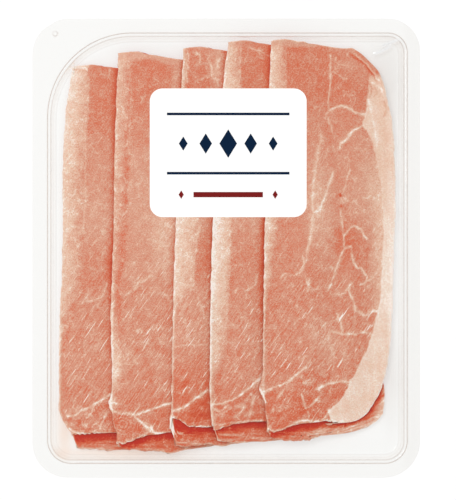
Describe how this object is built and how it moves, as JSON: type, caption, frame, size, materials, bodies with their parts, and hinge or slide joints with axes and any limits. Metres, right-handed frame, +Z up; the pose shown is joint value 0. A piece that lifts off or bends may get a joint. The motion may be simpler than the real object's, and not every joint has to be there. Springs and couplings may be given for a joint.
{
  "type": "pack of cooked ham",
  "caption": "Flat sealed pack of folded cooked ham slices in a clear plastic tray with a wide flange, a clear lid film and a white label.",
  "frame": {"origin": "middle of the flange's outline, on the surface that the tray stands on", "axes": "+X across the pack to the right, +Y up the pack as the label stands, +Z up through the lid film"},
  "size_m": [0.19, 0.225, 0.0155],
  "materials": {
    "clear_tray": "clear thermoformed plastic, smooth and glossy",
    "clear_film": "clear stretched lid film, glossy",
    "label_paper": "white coated paper, satin, with simple navy and dark red shapes",
    "cooked_ham": "moist cooked meat with pale fat at its edge and fine light marbling"
  },
  "bodies": {
    "root": {"tray": "clear_tray", "lid_film": "clear_film", "label": "label_paper", "ham_slice_1": "cooked_ham", "ham_slice_2": "cooked_ham", "ham_slice_3": "cooked_ham", "ham_slice_4": "cooked_ham", "ham_slice_5": "cooked_ham"}
  },
  "joints": []
}
